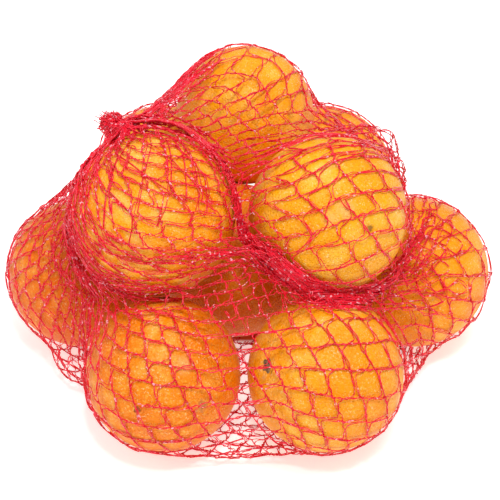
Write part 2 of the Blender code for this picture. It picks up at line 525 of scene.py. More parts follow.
slides = np.ones((2 * count, 1))
for name, grip in GRIPPED.items():
    centre, radius = heap[name]
    from_centre = ends - centre
    distance = np.linalg.norm(from_centre, axis=1, keepdims=True)
    held = np.clip(GRIP_FROM - (distance - radius) / GRIP_REACH, 0, 1)
    for fold, _, reach in FOLDS:
        from_fold = np.linalg.norm(fold - ends[:, None], axis=2).min(axis=1)[:, None]
        held *= np.clip((from_fold / reach - 0.4) / 0.5, 0, 1)
    laid = centre + from_centre * (radius + lift) / distance
    ends = ends + (laid - ends) * held * can_move
    slides = np.minimum(slides, 1 - grip * held)
for number_of_pass in range(PASSES):
    drawn = np.zeros_like(ends)
    total = np.full((2 * count, 1), 1e-9)
    for group in groups:
        one, other = foot[group], head[group]
        length = np.linalg.norm(ends[other] - ends[one], axis=1, keepdims=True)
        pull = (length / NATURAL_LENGTH) ** 2 + 1e-3
        pull *= hardness((ends[one] + ends[other]) / 2)
        drawn[one] += pull * ends[other]
        total[one] += pull
        drawn[other] += pull * ends[one]
        total[other] += pull
    give = GIVE * slides * can_move * (total > 1e-6)
    ends = ends + give * (drawn / total - ends)
    for number, (fold, strength, reach) in enumerate(FOLDS):
        if number_of_pass % LOOK_AGAIN == 0:
            nearest[number] = np.linalg.norm(fold - ends[:, None], axis=2).argmin(axis=1)
        to_fold = fold[nearest[number]] - ends
        distance = np.linalg.norm(to_fold, axis=1, keepdims=True)
        share = strength * np.clip(1 - distance / reach, 0, 1)
        share = share * np.clip((distance - FOLD_CORE) / (FOLD_CORE / 2), 0, 1)
        ends = ends + share * to_fold * slides * can_move
    ends[:, 2:] -= SAG * (ends[:, 2:] < SAG_BELOW) * can_move
    for group in groups:
        one, other = foot[group], head[group]
        apart = ends[other] - ends[one]
        length = np.linalg.norm(apart, axis=1, keepdims=True)
        movable = np.maximum(can_move[one] + can_move[other], 1)
        extra = 0.9 * apart * np.maximum(length - LONGEST, 0) / np.maximum(length, 1e-9) / movable
        ends[one] += extra * can_move[one] * slides[one]
        ends[other] -= extra * can_move[other] * slides[other]
    apart = ends[count:] - ends[:count]
    length = np.linalg.norm(apart, axis=1, keepdims=True)
    fix = apart * (1 - STITCH_LENGTH / np.maximum(length, 1e-9)) / 2 * free[:, None]
    ends[:count] += fix
    ends[count:] -= fix
    ends = np.where(can_move > 0, kept_off(ends, lift), ends)
    for middle, radius in STAND_OFF:
        away = ends - middle
        distance = np.linalg.norm(away, axis=1, keepdims=True)
        ends = ends + away * np.maximum(radius / distance - 1, 0) * can_move
    ends[:, 2] = np.maximum(ends[:, 2], LOWEST)
lengths = np.linalg.norm(ends[head] - ends[foot], axis=1)[free[upper] | free[lower]]
print("links from", (np.percentile(lengths, (5, 50, 95)) / MM).round(1), "mm")

# %% [markdown]
# Pulled tight, a fold closes up to a line. The real one is a flat rope of many layers of
# net, so we spread its stitches sideways again, and lift each column of them by its own
# amount: the threads then lie over and beside each other, as smooth and parallel as they
# do there.

# %% Spread the folds in layers
SPREAD = 4.4 * MM  # the most that a stitch is moved away from the middle of a fold
SPREAD_SOON = 1.2 * MM  # it has most of that at this distance from the middle
LAYERS = 2.8 * MM  # height of the upper layer
UNEVEN = 0.45 * MM  # how far a stitch lies from where an even net would have it


def along_fold(fold, points):
    """Each point's nearest place on the fold, the fold's run there, and its distance."""
    closest = np.linalg.norm(fold - points[:, None], axis=2).argmin(axis=1)
    run = unit(np.gradient(fold, axis=0))[closest]
    return fold[closest], run, np.linalg.norm(points - fold[closest], axis=1)


shift = chance.normal(0, UNEVEN, ends.shape)
ends = ends + shift * can_move
column_of = np.tile(np.arange(COLUMNS), 2 * ROWS)
column_lift = chance.uniform(0, 1, COLUMNS)
for fold, layers in ((valley_fold, LAYERS), (left_fold, 0.5 * LAYERS)):
    base, along, distance = along_fold(fold, ends)
    across = unit(np.cross(along, outward(ends)))
    aside = ((ends - base) * across).sum(axis=1)
    share = np.clip(1.6 - distance / (7 * MM), 0, 1) * can_move[:, 0]
    push = np.sign(aside) * SPREAD * (1 - np.exp(-np.abs(aside) / SPREAD_SOON))
    ends = ends + across * (push * share)[:, None]
    near = np.clip(1.4 - distance / (5 * MM), 0, 1)
    rise = layers * column_lift[column_of] * near * can_move[:, 0]
    ends = np.where(can_move > 0, kept_off(ends, lift), ends)
    ends = ends + outward(ends) * rise[:, None]
print("folds spread by up to", SPREAD / MM, "mm each way")

# %% [markdown]
# ## The threads
#
# A knitted net has no knots. Each stitch is a short, thick chain of thread, and from each
# of its two ends two links of loose threads lead to the next stitches. Seen closely, the
# two outer threads of a link turn at a stitch into the next side of the same mesh of the
# net, and here and there they cross, so small triangular eyes stay open round each
# stitch. A third thread goes straight on. We set points for the threads of every link,
# join them in that way, and follow them to get long unbroken threads.

# %% Ends and direction of each stitch
rows_of = np.repeat(np.arange(ROWS), COLUMNS)
heads, feet = ends[:count], ends[count:]
places = (heads + feet) / 2
ways_out = outward(places)
run = unit(feet - heads)
half = (feet - heads) / 2
print("stitches are", round(float(2 * np.median(np.linalg.norm(half[free], axis=1)) / MM), 2), "mm long")

# %% Points on the threads of the links
THREAD = 0.3 * MM  # radius
SLACK_LENGTH = 9.0 * MM  # a link of less than this has thread to spare
STATIONS = (0.2, 0.5, 0.8)  # shares of the way from stitch to stitch
BOW_ASIDE = 0.11  # how far a link bows, as a share of its spare thread
BOW_OUT = 0.12
CROSSED = 0.42  # how often the two threads cross between two stations
CROSS_HEIGHT = 0.22 * MM  # of the one above, and depth of the one below
left_side, right_side = 0, 1
SIDES = ((left_side, -1.0), (right_side, 1.0))
link_of = {}
links = []
for one, (left, right) in enumerate(zip(left_below, right_below)):
    for side, other in ((left_side, left), (right_side, right)):
        if other != NONE and (free[one] or free[other]):
            link_of[one, side] = len(links)
            links.append((one, other))
links = np.array(links)
link_start, link_end = feet[links[:, 0]], heads[links[:, 1]]
link_run = unit(link_end - link_start)
link_out = unit(ways_out[links[:, 0]] + ways_out[links[:, 1]])
link_aside = unit(np.cross(link_run, link_out))
link_out = np.cross(link_aside, link_run)
link_length = np.linalg.norm(link_end - link_start, axis=1)
link_count = len(links)

spare = np.sqrt(np.maximum(SLACK_LENGTH**2 - link_length**2, (2.5 * MM) ** 2))
bow_aside = spare * chance.uniform(-BOW_ASIDE, BOW_ASIDE, link_count)
bow_out = spare * chance.uniform(0.0, BOW_OUT, link_count)
crossing = chance.random((link_count, 2)) < CROSSED
HALF_GAPS = ((0.6, 1.1), (0.3, 0.75), (0.6, 1.1))  # least and most at each station, in mm
half_gap = np.stack([chance.uniform(*limits, link_count) for limits in HALF_GAPS], axis=1) * MM
above = np.where(chance.random(link_count) < 0.5, 1.0, -1.0)
above_next = above * (1 - 2 * crossing[:, 0])
above_last = above * (1 - 2 * (crossing[:, 0] ^ crossing[:, 1]))
over = np.stack((above, above_next, above_last), axis=1)


def on_link(share):
    """The middle of each link's threads, this share of the way along it."""
    centre = link_start + (link_end - link_start) * share
    arch = math.sin(math.pi * share)
    return centre + link_aside * (bow_aside * arch)[:, None] + link_out * (bow_out * arch)[:, None]


link_points = np.zeros((link_count, 3, 2, 3))
for station, share in enumerate(STATIONS):
    centre = on_link(share)
    for side, sign in SIDES:
        gap = (sign * half_gap[:, station])[:, None] * link_aside
        height = (sign * over[:, station] * CROSS_HEIGHT)[:, None] * link_out
        link_points[:, station, side] = centre + gap + height
print(link_count, "links with", link_points.size // 3, "points")

# %% Points on the straight threads
# A third thread of each link goes straight on, through the stitch, into the next link.
STRAIGHT = 0.85  # how many links have one
MIDDLE_STATIONS = (0.28, 0.72)
middle_points = np.zeros((link_count, 2, 3))
for station, share in enumerate(MIDDLE_STATIONS):
    centre = on_link(share)
    off = chance.uniform(-0.3, 0.3, link_count) * MM
    middle_points[:, station] = centre + link_aside * off[:, None] + link_out * (0.15 * MM)
straight = chance.random(link_count) < STRAIGHT
print(int(straight.sum()), "straight threads")

# %% Points on the threads of the stitches
knit_side = unit(np.cross(run, ways_out))
knit_gap = chance.uniform(0.26, 0.38, len(places)) * MM
stitch_points = np.zeros((len(places), 2, 2, 3))
for station, along in ((0, -0.6), (1, 0.6)):
    for side, sign in SIDES:
        height = 0.2 * MM * sign * (1 if station == 0 else -1)
        aside = knit_side * (sign * knit_gap)[:, None]
        stitch_points[:, station, side] = places + half * along + aside + ways_out * height
print(stitch_points.size // 3, "points in the stitches")

# %% Join the points into threads
CROSSED_IN_STITCH = 0.8
WOBBLE = 0.25 * MM  # of the threads in a knot's neck
base = link_points.size // 3
middle_base = base + stitch_points.size // 3
all_points = np.concatenate([p.reshape(-1, 3) for p in (link_points, stitch_points, middle_points)])
all_points = kept_off(all_points, THREAD + 0.25 * MM)
all_points[:, 2] = np.maximum(all_points[:, 2], THREAD)
all_points = list(all_points)
joins = []


def link_point(link, station, side):
    return (link * 3 + station) * 2 + side


def stitch_point(stitch, station, side):
    return base + (stitch * 2 + station) * 2 + side


def middle_point(link, station):
    return middle_base + link * 2 + station


for link in range(link_count):
    if straight[link]:
        joins.append((middle_point(link, 0), middle_point(link, 1)))
    for gap in (0, 1):
        for side in (left_side, right_side):
            other = 1 - side if crossing[link, gap] else side
            joins.append((link_point(link, gap, side), link_point(link, gap + 1, other)))
for stitch in np.flatnonzero(free):
    crossed = chance.random() < CROSSED_IN_STITCH
    for side in (left_side, right_side):
        other = 1 - side if crossed else side
        joins.append((stitch_point(stitch, 0, side), stitch_point(stitch, 1, other)))
    from_left = link_of[left_above[stitch], right_side]
    from_right = link_of[right_above[stitch], left_side]
    to_left = link_of[stitch, left_side]
    to_right = link_of[stitch, right_side]
    joins.append((link_point(from_left, 2, left_side), stitch_point(stitch, 0, left_side)))
    joins.append((link_point(from_left, 2, right_side), link_point(from_right, 2, left_side)))
    joins.append((link_point(from_right, 2, right_side), stitch_point(stitch, 0, right_side)))
    joins.append((stitch_point(stitch, 1, left_side), link_point(to_left, 0, left_side)))
    joins.append((link_point(to_left, 0, right_side), link_point(to_right, 0, left_side)))
    joins.append((stitch_point(stitch, 1, right_side), link_point(to_right, 0, right_side)))
    for one, other in ((from_left, to_right), (from_right, to_left)):
        if straight[one] and straight[other]:
            joins.append((middle_point(one, 1), middle_point(other, 0)))

# Threads that reach a knot go on through its neck.
for link, (one, other) in enumerate(links):
    for station, stitch in ((0, one), (2, other)):
        if free[stitch]:
            continue
        at_top = rows_of[stitch] == 0
        tie, axis = (TIE_TOP, TIE_TOP_AXIS) if at_top else (TIE_BACK, TIE_BACK_AXIS)
        spoke = places[stitch] - tie
        for side in (left_side, right_side):
            wobble = chance.normal(0, WOBBLE, 3)
            all_points.append(tie - axis * 0.6 * MM + spoke * chance.uniform(0.5, 1.0) + wobble)
            all_points.append(tie + axis * 2.6 * MM + spoke * chance.uniform(0.3, 0.9) + wobble)
            joins.append((link_point(link, station, side), len(all_points) - 2))
            joins.append((len(all_points) - 2, len(all_points) - 1))
all_points = np.array(all_points)
print(len(all_points), "points and", len(joins), "joins")

# %% Follow each thread from end to end
neighbours = [[] for _ in all_points]
for one, other in joins:
    neighbours[one].append(other)
    neighbours[other].append(one)
threads = []
seen = np.zeros(len(all_points), bool)
starts = [p for p in range(len(all_points)) if len(neighbours[p]) == 1]
starts += [p for p in range(len(all_points)) if len(neighbours[p]) == 2]
for start in starts:
    if seen[start]:
        continue
    thread = [start]
    seen[start] = True
    while True:
        onward = [p for p in neighbours[thread[-1]] if not seen[p]]
        if not onward:
            break
        thread.append(onward[0])
        seen[onward[0]] = True
    closed = len(thread) > 2 and thread[0] in neighbours[thread[-1]]
    threads.append((thread, closed))
print(len(threads), "threads, the longest through", max(len(t) for t, _ in threads), "points")

# %% [markdown]
# ## From threads to a mesh
#
# One Geometry Nodes tree turns a chain of points into a thread: the chain becomes a
# curve, the curve is smoothed, and a small flat ring is swept along it. The threads of
# such nets are cut from film, so they are flat and twist as they go, which gives them
# their glitter: each point carries its own twist.

# %% The thread tree
def empty_tree(name, inputs):
    """A Geometry Nodes tree with these inputs, its Tree, and the wires of the inputs."""
    group = bpy.data.node_groups.new(name, "GeometryNodeTree")
    group.interface.new_socket("Geometry", in_out="INPUT", socket_type="NodeSocketGeometry")
    for label, kind in inputs:
        group.interface.new_socket(label, in_out="INPUT", socket_type="NodeSocket" + kind)
    group.interface.new_socket("Geometry", in_out="OUTPUT", socket_type="NodeSocketGeometry")
    tree = Tree(group)
    entry = group.nodes.new("NodeGroupInput")
    wires = {socket.name: Wire(tree, socket) for socket in entry.outputs if socket.name}
    return group, tree, wires


def close_tree(group, tree, shape, finish):
    shape = tree.add("GeometryNodeSetShadeSmooth", {}, {0: shape})
    shape = tree.add("GeometryNodeRealizeInstances", {}, {0: shape})
    shape = tree.add("GeometryNodeSetMaterial", {}, {"Geometry": shape, "Material": finish})
    end = group.nodes.new("NodeGroupOutput")
    tree.links.new(shape.socket, end.inputs[0])


def thread_tree():
    sizes = (("Radius", "Float"), ("Flatness", "Float"), ("Sides", "Int"), ("Steps", "Int"))
    group, tree, wires = empty_tree("threads", (*sizes, ("Finish", "Material")))
    curve = tree.add("GeometryNodeMeshToCurve", {}, {"Mesh": wires["Geometry"]})
    curve = tree.add("GeometryNodeCurveSplineType", {"spline_type": "CATMULL_ROM"}, {"Curve": curve})
    curve = tree.add("GeometryNodeSetSplineResolution", {}, {0: curve, "Resolution": wires["Steps"]})
    twist = tree.add("GeometryNodeInputNamedAttribute", {"data_type": "FLOAT"}, {"Name": "twist"})
    curve = tree.add("GeometryNodeSetCurveTilt", {}, {0: curve, "Tilt": twist})
    circle = {"Resolution": wires["Sides"], "Radius": wires["Radius"]}
    ring = tree.add("GeometryNodeCurvePrimitiveCircle", {}, circle)
    flat = tree.add("ShaderNodeCombineXYZ", {}, {"X": 1.0, "Y": wires["Flatness"], "Z": 1.0})
    ring = tree.add("GeometryNodeTransform", {}, {"Geometry": ring, "Scale": flat})
    swept = {"Curve": curve, "Profile Curve": ring, "Fill Caps": True}
    shape = tree.add("GeometryNodeCurveToMesh", {}, swept)
    close_tree(group, tree, shape, wires["Finish"])
    return group


def made_by(tree_group, source, values):
    """A plain mesh: what the tree makes of the source mesh with these inputs."""
    holder = bpy.data.objects.new("holder", source)
    bpy.context.scene.collection.objects.link(holder)
    modifier = holder.modifiers.new("tree", "NODES")
    modifier.node_group = tree_group
    for socket in tree_group.interface.items_tree:
        if socket.in_out == "INPUT" and socket.name in values:
            modifier[socket.identifier] = values[socket.name]
    evaluated = holder.evaluated_get(bpy.context.evaluated_depsgraph_get())
    mesh = bpy.data.meshes.new_from_object(evaluated)
    holder.modifiers.remove(modifier)
    bpy.data.objects.remove(holder)
    return mesh


THREADS = thread_tree()
print("thread tree of", len(THREADS.nodes), "nodes")

# %% [markdown]
# ## The colour of the net
#
# The film is a clear, strong red. Slow noise along the threads varies the depth of the red.
# A finer one varies the gloss and paints pink sheen on the red, where light would come
# through the film or glance off it, and a third paints pale glints. The film also glows
# faintly in its own colour, painted light for what comes through it. A little bump breaks
# the highlight into the short glints that film gives.

# %% Net finish
def net_finish():
    material, tree, surface, place = new_finish("red_net_film")
    slow = tree.noise(place, 160.0, 3.0)
    fine = tree.noise(place, 900.0, 2.0)
    painted_glints = tree.noise(place, 520.0, 1.0)
    depth = tree.blend(slow.between(0.35, 0.68), colour(222, 8, 30), colour(246, 26, 56))
    # Painted sheen: the finer noise turns the red pinker, where the film would pass or reflect light.
    pink = tree.blend(fine.between(0.52, 0.72) * 0.5, depth, colour(255, 90, 125))
    # Painted glints: sparse pale flecks of colour stand in for highlights on the film.
    film = tree.blend(painted_glints.between(0.64, 0.7) * 0.85, pink, colour(255, 192, 205))
    tree.feed(surface.inputs["Base Color"], film)
    # Painted glow: a faint emission of the film's colour stands in for light that comes through it.
    tree.feed(surface.inputs["Emission Color"], film)  # light that comes through the film
    surface.inputs["Emission Strength"].default_value = 0.04
    tree.feed(surface.inputs["Roughness"], 0.16 + 0.22 * fine)
    tree.feed(surface.inputs["Specular IOR Level"], 0.4)
    tree.feed(surface.inputs["Normal"], tree.bump(fine, 0.15 * MM, 0.6))
    return material


NET_FILM = net_finish()
print("net finish of", len(NET_FILM.node_tree.nodes), "nodes")

# %% Sweep the threads
TWIST = 1.1  # radians, more or less, from one point of a thread to the next
THREAD_PIECES = 9  # so that each has few enough triangles


def unwrapped(mesh):
    """Gives each small face its own square in one grid, which suits a mesh of ribbons."""
    layer = mesh.uv_layers.new(name="OFBake")
    faces = len(mesh.polygons)
    across = math.ceil(math.sqrt(faces))
    starts = np.zeros(faces, int)
    sizes = np.zeros(faces, int)
    mesh.polygons.foreach_get("loop_start", starts)
    mesh.polygons.foreach_get("loop_total", sizes)
    face_of = np.repeat(np.arange(faces), sizes)
    corner = np.arange(len(mesh.loops)) - np.repeat(starts, sizes)
    turn = 2 * math.pi * (corner + 0.5) / np.repeat(sizes, sizes)
    u = face_of % across + 0.5 + 0.5 * np.cos(turn)
    v = face_of // across + 0.5 + 0.5 * np.sin(turn)
    spots = np.stack((u, v), axis=1)
    layer.data.foreach_set("uv", (spots / across).ravel().astype(np.float32))


def add_chain(points, chains, chain):
    """Adds the places of one open chain to a list of points and a list of chains."""
    chains.append((list(range(len(points), len(points) + len(chain))), False))
    points.extend(chain)


def thread_mesh(name, chains, points, seed):
    """Threads through chains of points, each (numbers of its points, is it closed)."""
    order = np.concatenate([np.array(chain) for chain, _ in chains])
    edges = []
    at = 0
    for chain, closed in chains:
        edges += [(at + k, at + k + 1) for k in range(len(chain) - 1)]
        if closed:
            edges.append((at + len(chain) - 1, at))
        at += len(chain)
    source = bpy.data.meshes.new(name + "_points")
    source.from_pydata([tuple(p) for p in points[order]], edges, [])
    twist = np.cumsum(np.random.default_rng(seed).normal(0, TWIST, len(order)))
    source.attributes.new("twist", "FLOAT", "POINT").data.foreach_set("value", twist.astype(np.float32))
    values = {"Radius": THREAD, "Flatness": 0.6, "Sides": 4, "Steps": 2, "Finish": NET_FILM}
    mesh = made_by(THREADS, source, values)
    bpy.data.meshes.remove(source)
    unwrapped(mesh)
    mesh.name = name
    return mesh


def piece_of(name, mesh):
    """The finished piece that one mesh is, in place of the CAD model's closed solid."""
    piece = bpy.data.objects.new(name, mesh)
    bpy.context.scene.collection.objects.link(piece)
    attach(piece, "root")
    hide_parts("net_of_oranges")
    triangles = sum(len(p.vertices) - 2 for p in mesh.polygons)
    print(name, triangles, "triangles")
    return piece


def net_piece(name, chains, points, seed):
    piece_of(name, thread_mesh(name, chains, points, seed))


shares = [[] for _ in range(THREAD_PIECES)]
for chain in sorted(threads, key=lambda t: -len(t[0])):
    smallest = min(shares, key=lambda s: sum(len(t[0]) for t in s))
    smallest.append(chain)
for number, chains in enumerate(shares, 1):
    net_piece("net_threads_%d" % number, chains, all_points, number)

# %% [markdown]
# ## The stitches
#
# Each stitch is knitted: its threads loop round each other along a few millimetres, so it
# looks like a short, thick chain. A small coil, set along each stitch by a second tree,
# gives it that thickness. It is instanced thousands of times, so it has few faces.

# %% The stitch tree
def stitch_tree():
    inputs = (("Coil", "Float"), ("Length", "Float"), ("Thread", "Float"), ("Finish", "Material"))
    group, tree, wires = empty_tree("stitches", inputs)
    coil = {"Resolution": 6, "Rotations": 1.7, "Height": wires["Length"]}
    coil |= {"Start Radius": wires["Coil"], "End Radius": wires["Coil"] * 0.8}
    curve = tree.add("GeometryNodeCurveSpiral", {}, coil)
    centred = tree.add("ShaderNodeCombineXYZ", {}, {"Z": wires["Length"] * -0.5})
    flattened = {"Geometry": curve, "Translation": centred, "Scale": (0.72, 1.0, 1.0)}
    curve = tree.add("GeometryNodeTransform", {}, flattened)
    circle = {"Resolution": 4, "Radius": wires["Thread"]}
    ring = tree.add("GeometryNodeCurvePrimitiveCircle", {}, circle)
    swept = {"Curve": curve, "Profile Curve": ring, "Fill Caps": True}
    coil_mesh = tree.add("GeometryNodeCurveToMesh", {}, swept)
    vector = {"data_type": "FLOAT_VECTOR"}
    along = tree.add("GeometryNodeInputNamedAttribute", vector, {"Name": "along"})
    out = tree.add("GeometryNodeInputNamedAttribute", vector, {"Name": "out"})
    axes = {"primary_axis": "Z", "secondary_axis": "X"}
    turned = tree.add("FunctionNodeAxesToRotation", axes, {0: along, 1: out})
    limits = {"Min": 0.85, "Max": 1.2, "Seed": 4}
    size = tree.add("FunctionNodeRandomValue", {"data_type": "FLOAT"}, limits, out=1)
    placing = {"Points": wires["Geometry"], "Instance": coil_mesh, "Rotation": turned, "Scale": size}
    shape = tree.add("GeometryNodeInstanceOnPoints", {}, placing)
    close_tree(group, tree, shape, wires["Finish"])
    return group


COIL = 0.5 * MM
LOWEST_COIL = 3.2 * COIL  # so that no coil reaches below the table
values = {"Coil": COIL, "Length": 2.4 * MM, "Thread": 0.26 * MM, "Finish": NET_FILM}
STITCHES = stitch_tree()
for number, some in enumerate(np.array_split(np.flatnonzero(free), 2), 1):
    spots = places[some]
    spots[:, 2] = np.maximum(spots[:, 2], LOWEST_COIL)
    dots = bpy.data.meshes.new("stitch_dots")
    dots.from_pydata([tuple(p) for p in spots], [], [])
    for label, vectors in (("along", run), ("out", ways_out)):
        layer = dots.attributes.new(label, "FLOAT_VECTOR", "POINT")
        layer.data.foreach_set("vector", vectors[some].ravel())
    mesh = made_by(STITCHES, dots, values)
    unwrapped(mesh)
    mesh.name = "net_stitches_%d" % number
    piece_of("net_stitches_%d" % number, mesh)

# %% [markdown]
# ## The two knots
#
# At each end the whole sleeve is squeezed into a neck less than 5 mm thick, wound round
# with a few turns of its own threads, and cut off a centimetre beyond. The cut ends spring
# apart and curl into a ragged ball.

# %% Tufts and windings
WINDINGS = 9
LOOPS = 220  # crushed into a ball
CUT_ENDS = 110  # that stand out of the ball
BALL_AT = 4.6 * MM  # beyond the neck
KNOT_CLEARANCE = 0.4 * MM


def across_axis(axis):
    side = unit(np.cross(axis, (0.0, 0.0, 1.0)))
    return side, np.cross(axis, side)


def knot_chains(tie, axis, seed):
    """Points and chains for the winding round a neck and the tuft beyond it."""
    dice = np.random.default_rng(seed)
    side, over = across_axis(axis)
    points = []
    chains = []
    for _ in range(WINDINGS):
        start = dice.uniform(0, 2 * math.pi)
        turns = dice.uniform(1.5, 2.6)
        steps = int(turns * 12)
        low, high = sorted(dice.uniform(-1.8, 1.6, 2) * MM)
        chain = []
        for k in range(steps + 1):
            turn = start + 2 * math.pi * turns * k / steps
            radius = NECK * 1.12 + dice.normal(0, 0.14 * MM)
            spoke = side * math.cos(turn) + over * math.sin(turn)
            chain.append(tie + axis * (low + (high - low) * k / steps) + spoke * radius)
        add_chain(points, chains, chain)
    ball = tie + axis * BALL_AT
    for _ in range(LOOPS):
        pole = unit(dice.normal(0, 1, 3))
        first = unit(np.cross(pole, dice.normal(0, 1, 3)))
        second = np.cross(pole, first)
        size = dice.uniform(1.5, 5.0) * MM
        shift = dice.normal(0, 0.7 * MM, 3)
        sweep = dice.uniform(2.5, 6.0)
        steps = 9
        chain = []
        for k in range(steps + 1):
            turn = sweep * k / steps
            spot = first * math.cos(turn) + second * math.sin(turn)
            chain.append(ball + shift + spot * size + dice.normal(0, 0.3 * MM, 3))
        add_chain(points, chains, chain)
    for _ in range(CUT_ENDS):
        lean = abs(dice.normal(0, 1.0))
        turn = dice.uniform(0, 2 * math.pi)
        spoke = side * math.cos(turn) + over * math.sin(turn)
        aim = unit(axis * math.cos(lean) + spoke * math.sin(lean))
        length = dice.uniform(4.8, 7.0) * MM
        if dice.random() < 0.2:
            length *= 1.3
        bend = unit(dice.normal(0, 1, 3)) * length * dice.uniform(0.05, 0.3)
        start = tie + axis * dice.uniform(-1.0, 2.0) * MM + spoke * NECK * dice.uniform(0.2, 0.9)
        steps = 6
        chain = []
        for k in range(steps + 1):
            share = k / steps
            spot = start * (1 - share) + (ball + aim * length) * share
            spot = spot + bend * math.sin(math.pi * share) + dice.normal(0, 0.25 * MM, 3) * (share > 0)
            chain.append(spot)
        add_chain(points, chains, chain)
    return np.array(points), chains


KNOTS = (("top_knot", TIE_TOP, TIE_TOP_AXIS, 21), ("back_knot", TIE_BACK, TIE_BACK_AXIS, 22))
for name, tie, axis, seed in KNOTS:
    knot_points, chains = knot_chains(tie, axis, seed)
    knot_points = kept_off(knot_points, KNOT_CLEARANCE)
    knot_points[:, 2] = np.maximum(knot_points[:, 2], KNOT_CLEARANCE)
    net_piece(name, chains, knot_points, seed)

# %% [markdown]
# ## The layers of the folds
#
# In a fold the net lies several layers deep. The layer at the top comes from the stitches
# above. Those below it are never seen as meshes of the net, only as bundles of doubled
# threads that run along the fold and cross each other at every stitch. So we lay such
# bundles straight along the fold's line. Where a fold opens out over an orange, it ends in
# a fan of pleats, and beside the folds the net lies over itself as a second layer, which
# we draw with its stitches over the middles of the meshes below.

# %% Bundles along the folds
# Half the fold's width, in millimetres, so far along it from the knot
VALLEY_WIDTHS = (
    (0, 1.2), (20, 5.4), (45, 5.2), (62, 2.2), (78, 2.6), (92, 5.0), (112, 7.0), (150, 6.6),
    (175, 7.0), (210, 9.0),
)  # fmt: skip
LEFT_WIDTHS = ((0, 1.2), (20, 6.5), (170, 8))
BACK_WIDTHS = ((0, 1.2), (20, 4.0), (60, 5.0), (100, 9.0))
# name: (its line, bundles, how many start at the knot, half widths, height, seed)
BUNDLES = {
    "valley_fold": (valley_fold, 84, 0.3, VALLEY_WIDTHS, 2.4 * MM, 31),
    "left_fold": (left_fold, 9, 0.6, LEFT_WIDTHS, 1.2 * MM, 32),
    "back_fold": (back_fold, 26, 1.0, BACK_WIDTHS, 1.6 * MM, 33),
}


def crossing_gaps(dice, low, high, count):
    """Gaps from low to high millimetres, of which some are negative: there threads cross."""
    return dice.uniform(low, high, count) * np.where(dice.random(count) < 0.3, -1, 1) * MM


def fold_chains(fold, bundles, early, widths, height, seed):
    """Points and chains for doubled threads that run along a fold."""
    dice = np.random.default_rng(seed)
    far = far_along(fold)
    out = outward(fold)
    across = unit(np.cross(unit(np.gradient(fold, axis=0)), out))

    def at_each(vectors):
        return np.stack([np.interp(at, far, vectors[:, axis]) for axis in range(3)], axis=1)

    points = []
    chains = []
    for _ in range(bundles):
        begin = 0.0 if dice.random() < early else dice.uniform(0.36, 0.54)
        finish = dice.uniform(0.62, 0.98)
        steps = max(int((finish - begin) * far[-1] / (4.6 * MM)), 4)
        at = np.linspace(begin, finish, steps + 1) * far[-1]
        middle, aside, upward = at_each(fold), at_each(across), at_each(out)
        home = dice.uniform(-1, 1)
        wander = home + 0.16 * np.cumsum(dice.normal(0, 1, steps + 1)) / math.sqrt(steps)
        wander = wander + dice.normal(0, 0.04, steps + 1)
        width = np.interp(at / MM, *np.array(widths, float).T) * MM
        level = height * dice.uniform(0.0, 1.0) * (1 - 0.6 * home**2) * np.clip(at / (60 * MM), 0.3, 1)
        for sign in (-1, 1):
            gap = sign * crossing_gaps(dice, 0.2, 0.5, steps + 1)
            chain = middle + aside * (wander * width + gap)[:, None]
            chain = chain + upward * (level + dice.normal(0, 0.2 * MM, steps + 1))[:, None]
            add_chain(points, chains, chain)
    return np.array(points), chains


for name, facts in BUNDLES.items():
    fold_points, chains = fold_chains(*facts)
    net_piece("net_" + name, chains, kept_off(fold_points, THREAD + 0.3 * MM), facts[-1])

# %% Fans of pleats
# name: (its line, the orange that it spreads over, the ways to its two corners, pleats, seed)
FANS = {
    "net_pleats_right": (
        ((52, -62, 70), (82, -24, 75)), "right", (0.5, -0.86, -0.1), (0.2, 0.3, 0.93), 16, 35,
    ),
    "net_pleats_left": (
        ((-60, -8, 125), (-53, -3, 130)), "top_left", (-0.6, -0.75, -0.3), (0.73, -0.44, 0.52), 13, 36,
    ),
}  # fmt: skip


def fan_chains(line, name, low, high, pleats, seed):
    """Doubled threads that spread over an orange and meet their neighbours in turn."""
    dice = np.random.default_rng(seed)
    start_line = np.array(line) * MM
    low, high = np.array(low), np.array(high)
    centre, radius = heap[name]
    points = []
    chains = []
    pair_steps = 2 * dice.integers(4, 6, pleats // 2 + 1)  # two neighbours end where they meet
    for pleat in range(pleats):
        steps = pair_steps[pleat // 2]
        turn = np.where((np.arange(steps) + pleat) % 2 == 0, 0.06, 0.94) + dice.normal(0, 0.07, steps)
        share = np.clip((pleat + turn) / pleats, 0, 1)[:, None]
        start = start_line[0] + (start_line[1] - start_line[0]) * share
        end = centre + unit(low * (1 - share) + high * share) * radius
        middle = start + (end - start) * (np.arange(steps) / 9)[:, None]
        out = unit(middle - centre)
        aside = unit(np.cross(end - start, out))
        for sign in (-1, 1):
            gap = sign * crossing_gaps(dice, 0.3, 0.8, steps)
            chain = middle + aside * gap[:, None] + out * dice.uniform(0.4, 1.2) * MM
            add_chain(points, chains, chain)
    return np.array(points), chains


for name, facts in FANS.items():
    fan_points, chains = fan_chains(*facts)
    net_piece(name, chains, kept_off(fan_points, THREAD + 0.35 * MM), facts[-1])

# %% A second layer of net
# Middle and reach, in mm, of the places where a fold lies over the net as a second layer
DOUBLED_UP = (((0, -62, 82), 27), ((68, -44, 66), 16), ((30, 10, 95), 22))
LONGEST_SIDE = 8.5 * MM
# (share of the way along a side of a mesh, half the gap between its threads in mm)
SIDE_STATIONS = ((-0.06, 0.3), (0.2, 0.8), (0.5, 0.3), (0.8, 0.8), (1.06, 0.3))


def mesh_middle(stitch):
    """Middle of the net's mesh below a stitch, or None at an edge of the net."""
    left, right = left_below[stitch], right_below[stitch]
    if NONE in (left, right) or right_below[left] == NONE:
        return None
    return places[[stitch, left, right, right_below[left]]].mean(axis=0)


def doubled_up(place, dice):
    """Whether the second layer reaches a place; its edges are ragged."""
    return any(np.linalg.norm(place / MM - at) < reach * dice.uniform(0.7, 1) for at, reach in DOUBLED_UP)


